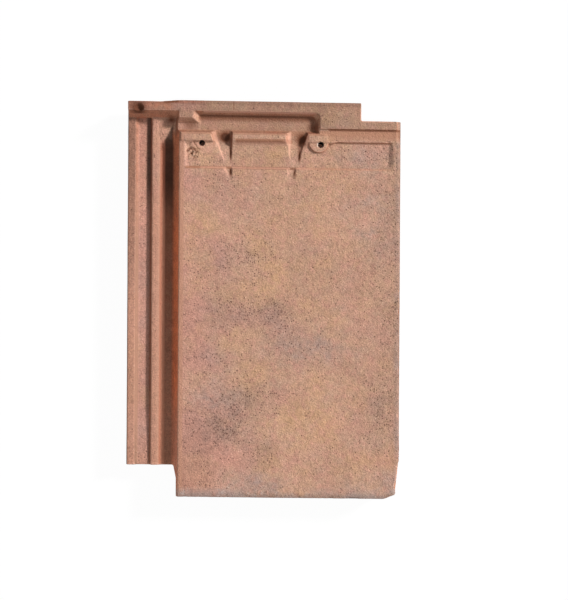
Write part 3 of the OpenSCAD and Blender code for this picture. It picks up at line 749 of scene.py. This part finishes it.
        # A painted shadow as a dark hook round the torn clay's head end
        hook = bench.band(self.away(TORN_PLACE), 5.3 * MM, 0.9 * MM, 1.3 * MM) * self.upper
        hook = hook * bench.step(self.y, TORN_PLACE[1], TORN_PLACE[1] + 3 * MM)
        return bench.mix(clay, finish.dirt_and_shade, hook * bench.step(crumbs, 0.3, 0.55, 1.0, 0.5))

    def dirt_and_shade(self, clay):
        """Grime and painted shade in the hollows, most of all in the side channels and the gutters, and
        painted shadows under walls and ribs.
        """
        bench, finish, x, y, z = self.bench, self.finish, self.x, self.y, self.z
        # Grime and painted shade on the inner channel's floor, stronger toward the head
        drain = bench.band(x, INNER_CHANNEL_X, INNER_CHANNEL_HALF, 2 * MM)
        drain = drain * bench.step(z, LOCK_Z + 3 * MM, LOCK_Z + 0.5 * MM) * self.upper
        drain = drain * bench.step(x, PANEL_X - 5 * MM, PANEL_X - 8 * MM)
        drain = drain * bench.step(x, INNER_SLOPE_X + 2.2 * MM, INNER_SLOPE_X + 4.2 * MM)
        clay = bench.mix(clay, self.pressed, drain * 0.8)
        # Painted shade in the hollows away from the left boss
        hollow = self.kept("hollow") * bench.step(self.away(BOSS_LEFT), BOSS_R + 2 * MM, BOSS_R + 5 * MM)
        soot_and_shade = hollow * 0.3 + drain * bench.step(y, -150 * MM, 120 * MM, 0.15, 0.75)
        # Painted shadow of the inner rib on the outer channel's floor
        rib_foot = bench.band(x, INNER_RIB_FOOT_X - 1.5 * MM, 2.5 * MM, 1.5 * MM)
        rib_foot = rib_foot * bench.step(z, LOCK_Z + 4 * MM, LOCK_Z + 2.5 * MM) * self.upper
        rib_foot = rib_foot * bench.step(self.lie, 1.0, 0.9, 0.5, 0.8)
        soot_and_shade = soot_and_shade | rib_foot * bench.step(y, -140 * MM, -80 * MM, 0.0, 0.65)
        soot_and_shade = soot_and_shade * bench.step(self.noise(20 * MM, 3.0, 0.6, 6.1), 0.2, 0.6, 0.6, 1.0)
        # Painted shadows from the table above, on the low floors of the gutters and channels
        shadow_spots = bench.step(z, FACE_Z + 1 * MM, FACE_Z - 1.2 * MM) * self.upper * self.clouds(PAINTED_SHADOWS)
        # Painted shadow on the head channel's floor at the foot of its head wall
        foot = self.head_channel * bench.step(y, HEAD_RIB_Y - 12.5 * MM, HEAD_RIB_Y - 6.5 * MM)
        foot = foot * bench.step(y, HEAD_RIB_Y - 2 * MM, HEAD_RIB_Y - 4.5 * MM) * 0.8
        # Painted shade on the right gutter's shaded bank
        lip_shade = self.spot(GUTTER_LIP, (3 * MM, 8 * MM)) * 0.6
        # Painted shadow along the foot of the plateau's wall on the right
        groove_shadow = bench.band(y, CROSS_RIB_Y + 4.9 * MM, 0.9 * MM, 0.7 * MM) * self.right * 0.7
        clay = bench.mix(
            clay, finish.dirt_and_shade, soot_and_shade | shadow_spots | groove_shadow | foot | lip_shade | self.rib_front_shade * 0.22)
        return self.darkened(clay, shadow_spots)

    def darkened(self, clay, shadow_spots):
        """Painted shade in the deepest places: the channels near the head, the gutters' shadowed ends, the
        seat's right end, the stop's pit and the nail holes.
        """
        bench, finish, x, y, z = self.bench, self.finish, self.x, self.y, self.z
        # Painted shadow in the inner channel near the head, bounded by the shadow's edge, and in the outer
        # channel beside the inner rib
        past = y - (x - SPILL_SHADOW_LINE[0]) * SPILL_SHADOW_SLOPE - SPILL_SHADOW_LINE[1]
        inner = bench.band(x, INNER_CHANNEL_X - 0.3 * MM, 3.2 * MM, 2.6 * MM)
        inner = inner * bench.step(past, 1.5 * MM, -2.5 * MM)
        inner = inner * bench.step(z, LOCK_Z + 6 * MM, LOCK_Z + 4.5 * MM)
        outer = bench.band(x, OUTER_CHANNEL_X + 3.8 * MM, 1 * MM, 2.6 * MM)
        outer = outer * bench.step(z, LOCK_Z + 3.5 * MM, LOCK_Z + 2 * MM)
        deep_shade = (inner | outer) * self.upper * bench.step(y, 75 * MM, 130 * MM)
        deep_shade = deep_shade * bench.step(y, HEAD_Y - 4 * MM, HEAD_Y - 8 * MM)
        # Painted shade at the seat's right end
        seat_end = bench.band(x, SEAT_RIGHT_X, 1.2 * MM, 2.5 * MM)
        seat_end = seat_end * bench.band(y, SEAT_Y, 8 * MM, 5 * MM)
        deep_shade = deep_shade | bench.step(shadow_spots, 0.8, 1.3) * 0.7 | seat_end * 0.55
        clay = bench.shade(clay, 1.0 - deep_shade * 0.68)
        # Painted shade filling the pit in the stop
        pit = self.spot(STOP_PIT, (13 * MM, 12 * MM)) * bench.step(z, FACE_Z - 4 * MM, FACE_Z - 2 * MM)
        clay = bench.mix(clay, bench.mix(finish.dirt_and_shade, (0.0, 0.0, 0.0), 0.35), pit * 1.3)
        # Painted shade inside the nail holes, made nearly black
        hole = bench.step(self.away(NAIL_LEFT), NAIL_R + 0.5 * MM, NAIL_R + 0.1 * MM)
        hole = hole | bench.step(self.away(NAIL_RIGHT), NAIL_R + 0.6 * MM, NAIL_R + 0.2 * MM)
        return bench.shade(clay, 1.0 - hole * 0.97)

    def mould_lines(self, clay):
        """Mould lines on the head and the seat, and a dark painted sliver along the head edge over the
        lock.
        """
        bench, x, y = self.bench, self.x, self.y
        seam = bench.band(x, SEAM_X, LINE_HALF, LINE_HALF)
        seam = seam * bench.step(y, HEAD_RIB_Y, HEAD_RIB_Y + 2 * MM)
        scratch = bench.band(x, SEAT_LINE_X, LINE_HALF, LINE_HALF)
        scratch = scratch * bench.band(y, SEAT_Y + 2.5 * MM, 8 * MM, 3 * MM)
        # A dark sliver painted along the head edge over the lock
        slope = (RAMP_END[1] - RAMP_START[1]) / (RAMP_END[0] - RAMP_START[0])
        over = y - ((x - RAMP_START[0]) * slope + RAMP_START[1])
        sliver = bench.step(over, -3.2 * MM, -2.2 * MM)
        sliver = sliver * bench.step(x, RAMP_START[0], RAMP_START[0] + 6 * MM)
        sliver = sliver * bench.step(x, RAMP_END[0] + 2 * MM, RAMP_END[0] - 4 * MM)
        return bench.mix(clay, self.finish.dirt_and_shade, seam * 0.6 | scratch * 0.2 | sliver * 0.8)

    def lime_bloom(self, clay):
        """Lime bloom along the tail, in clouds and in paler flecks."""
        bench, finish, y = self.bench, self.finish, self.y
        bloom = bench.step(y, TAIL_Y + 13 * MM, TAIL_Y + 2 * MM)
        bloom = bloom * bench.step(self.noise(22 * MM, 3.0, 0.6, 7.7), 0.3, 0.6)
        clay = bench.mix(clay, finish.lime, bloom * 0.6)
        flecks = bench.step(y, TAIL_Y + 22 * MM, TAIL_Y + 4 * MM)
        flecks = flecks * bench.step(self.x, 60 * MM, -30 * MM, 0.4, 1.0)
        flecks = flecks * bench.step(self.noise(7 * MM, 4.0, 0.7, 6.6), 0.56, 0.68)
        return bench.mix(clay, bench.mix(finish.lime, finish.chalk_and_highlight, 0.3), flecks * 0.55)


def clay_material(finish):
    """Fired clay: a sanded, cloudy coat on what lies level, and bare clay on the walls."""
    material = bpy.data.materials.new("fired_clay")
    material.use_nodes = True
    bench = Bench(material.node_tree)
    paint = FiredClay(bench, finish)
    clay = paint.sanded_coat()
    for layer in (
            paint.smoke_and_grain, paint.head_tones, paint.pressed_walls, paint.lock_walls,
            paint.rubbed_edges, paint.torn_patch, paint.dirt_and_shade, paint.mould_lines, paint.lime_bloom):
        clay = layer(clay)

    coarse = paint.noise(finish.sand_size * 3.0, 2.0, 0.6, 8.8)
    bump = bench.output(bench.node(
        "ShaderNodeBump", None,
        {"Strength": 1.0, "Distance": finish.sand_height, "Height": paint.sand + coarse * 1.2}))
    shader = bench.node(
        "ShaderNodeBsdfPrincipled", None,
        {"Base Color": clay, "Roughness": finish.roughness + (paint.sand - 0.5) * 0.12,
         "Specular IOR Level": 0.25, "Normal": bump})
    bench.node("ShaderNodeOutputMaterial", None, {"Surface": bench.output(shader)})
    return material


def plain_mesh(item):
    """The object's mesh with its modifiers carried out."""
    seen = item.evaluated_get(bpy.context.evaluated_depsgraph_get())
    return bpy.data.meshes.new_from_object(seen)


def triangle_count(mesh):
    """How many triangles the mesh comes to."""
    return sum(len(face.vertices) - 2 for face in mesh.polygons)


class ROOFTILE_OT_fired_tile(bpy.types.Operator):
    """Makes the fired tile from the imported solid, with softened edges, relief and wear"""

    bl_idname = "rooftile.fired_tile"
    bl_label = "Fired tile"

    def execute(self, context):
        settings = context.scene.roof_tile
        shape = settings.shape
        pressed = bpy.data.meshes.new("pressed_tile")
        work = bmesh.new()
        work.from_mesh(frame["nodes"]["roof_tile"].data)
        bmesh.ops.remove_doubles(work, verts=work.verts, dist=0.001 * MM)
        work.to_mesh(pressed)
        work.free()
        pressed.materials.clear()
        tile = bpy.data.objects.new("fired_tile", pressed)
        context.scene.collection.objects.link(tile)

        rebuild = tile.modifiers.new("Even mesh", "REMESH")
        rebuild.mode = "VOXEL"
        rebuild.voxel_size = shape.voxel
        sizes = {
            "Swell Height": shape.swell_height, "Swell Size": shape.swell_size,
            "Pit Depth": shape.pit_depth, "Pit Spacing": shape.pit_spacing,
            "Chip Depth": shape.chip_depth, "Chip Size": shape.chip_size,
            "Rough Height": shape.rough_height, "Burr Height": shape.burr_height,
            "Silt Depth": shape.silt_depth, "Edge Wear": shape.edge_wear,
            "Skew": shape.skew, "Taper": shape.taper,
        }
        tree = relief_tree(list(sizes))
        sizes["Edge Softness"] = shape.softness
        sizes["Clay"] = clay_material(settings.finish)
        relief = tile.modifiers.new("Fired relief", "NODES")
        relief.node_group = tree
        for socket in tree.interface.items_tree:
            if socket.in_out == "INPUT" and socket.name in sizes:
                relief[socket.identifier] = sizes[socket.name]
        dense = plain_mesh(tile)
        tile.modifiers.clear()
        tile.data = dense
        thin = tile.modifiers.new("Fewer triangles", "DECIMATE")
        thin.ratio = min(1.0, shape.triangles / triangle_count(dense))
        finished = plain_mesh(tile)
        tile.modifiers.clear()
        tile.data = finished
        finished.name = "fired_tile"
        if not finished.polygons:
            raise RuntimeError("the fired tile came out empty")
        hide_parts("roof_tile")
        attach(tile, "root")
        return {"FINISHED"}


def seen_directly(bench):
    """1 for what the camera sees, also in gloss and through glass."""
    path = bench.node("ShaderNodeLightPath")
    rays = [Value(bench, bench.output(path, name))
            for name in ("Is Camera Ray", "Is Glossy Ray", "Is Transmission Ray")]
    return rays[0] | rays[1] | rays[2]


def floor_material(studio):
    """Pale floor that shows white, and keeps the tile's shadow."""
    material = bpy.data.materials.new("pale_floor")
    material.use_nodes = True
    bench = Bench(material.node_tree)
    at = bench.output(bench.node("ShaderNodeTexCoord"), "Object")
    x, y, _z = bench.parts(at)
    open_floor = bench.step(bench.away(x, y, NAIL_LEFT), *HOLE_SHADE)
    open_floor = open_floor * bench.step(bench.away(x, y, NAIL_RIGHT), *HOLE_SHADE)
    pale = bench.output(bench.node("ShaderNodeBsdfDiffuse", None, {"Color": rgba(studio.floor)}))
    white = bench.output(bench.node(
        "ShaderNodeEmission", None, {"Color": (1.0, 1.0, 1.0, 1.0), "Strength": FLOOR_GLOW}))
    shown = bench.output(bench.node(
        "ShaderNodeMixShader", None,
        {"Fac": open_floor * seen_directly(bench) * (1.0 - studio.floor_shade), 1: pale, 2: white}))
    bench.node("ShaderNodeOutputMaterial", None, {"Surface": shown})
    return material


class ROOFTILE_OT_studio(bpy.types.Operator):
    """Sets up the pale floor, the soft light and the camera over the tile"""

    bl_idname = "rooftile.studio"
    bl_label = "Studio"

    def execute(self, context):
        scene = context.scene
        studio = scene.roof_tile.studio
        scene.view_settings.view_transform = "Standard"

        mesh = bpy.data.meshes.new("floor")
        reach = FLOOR_REACH
        mesh.from_pydata(
            [(-reach, -reach, FLOOR_Z), (reach, -reach, FLOOR_Z),
             (reach, reach, FLOOR_Z), (-reach, reach, FLOOR_Z)], [], [(0, 1, 2, 3)])
        mesh.materials.append(floor_material(studio))
        floor = bpy.data.objects.new("floor", mesh)
        scene.collection.objects.link(floor)

        world = bpy.data.worlds.new("studio")
        world.use_nodes = True
        scene.world = world
        bench = Bench(world.node_tree)
        strength = studio.fill + seen_directly(bench) * (1.0 - studio.fill)
        glow = bench.node(
            "ShaderNodeBackground", None, {"Color": (1.0, 1.0, 1.0, 1.0), "Strength": strength})
        bench.node("ShaderNodeOutputWorld", None, {"Surface": bench.output(glow)})

        for name, strength, softness, height, azimuth in (
                ("key_light", studio.key_strength, studio.key_softness,
                 studio.key_height, studio.key_azimuth),
                ("tail_light", studio.tail_strength, studio.tail_softness,
                 studio.tail_height, -math.pi / 2)):
            lamp = bpy.data.lights.new(name, "SUN")
            lamp.energy = strength
            lamp.angle = softness
            light = bpy.data.objects.new(name, lamp)
            light.rotation_euler = (0.0, math.pi / 2 - height, azimuth)
            scene.collection.objects.link(light)

        view = bpy.data.cameras.new("camera")
        view.sensor_width = SENSOR
        view.lens = SENSOR * studio.camera_height / (studio.pixel * max(PICTURE_W, PICTURE_H))
        view.clip_start = 0.05
        view.clip_end = 20.0
        camera = bpy.data.objects.new("camera", view)
        camera.location = (studio.camera_x, studio.camera_y, FACE_Z + studio.camera_height)
        camera.rotation_euler = (0.0, 0.0, studio.camera_roll)
        scene.collection.objects.link(camera)
        scene.camera = camera
        return {"FINISHED"}


class ROOFTILE_PT_sidebar(bpy.types.Panel):
    """Roof tile settings and steps"""

    bl_idname = "ROOFTILE_PT_sidebar"
    bl_label = "Clay roof tile"
    bl_space_type = "VIEW_3D"
    bl_region_type = "UI"
    bl_category = "Roof tile"

    def draw(self, context):
        settings = context.scene.roof_tile
        for step, group in (
                (ROOFTILE_OT_fired_tile, settings.shape),
                (None, settings.finish),
                (ROOFTILE_OT_studio, settings.studio)):
            box = self.layout.box()
            if step:
                box.operator(step.bl_idname)
            for name in group.__annotations__:
                box.prop(group, name)


CLASSES = (
    TileShapeSettings,
    ClayFinishSettings,
    StudioSettings,
    RoofTileSettings,
    ROOFTILE_OT_fired_tile,
    ROOFTILE_OT_studio,
    ROOFTILE_PT_sidebar,
)


def register():
    for item in CLASSES:
        bpy.utils.register_class(item)
    bpy.types.Scene.roof_tile = PointerProperty(type=RoofTileSettings)


def unregister():
    del bpy.types.Scene.roof_tile
    for item in reversed(CLASSES):
        bpy.utils.unregister_class(item)


def main():
    """Makes the tile and its studio."""
    register()
    bpy.ops.rooftile.fired_tile()
    bpy.ops.rooftile.studio()


if __name__ == "__main__":
    main()
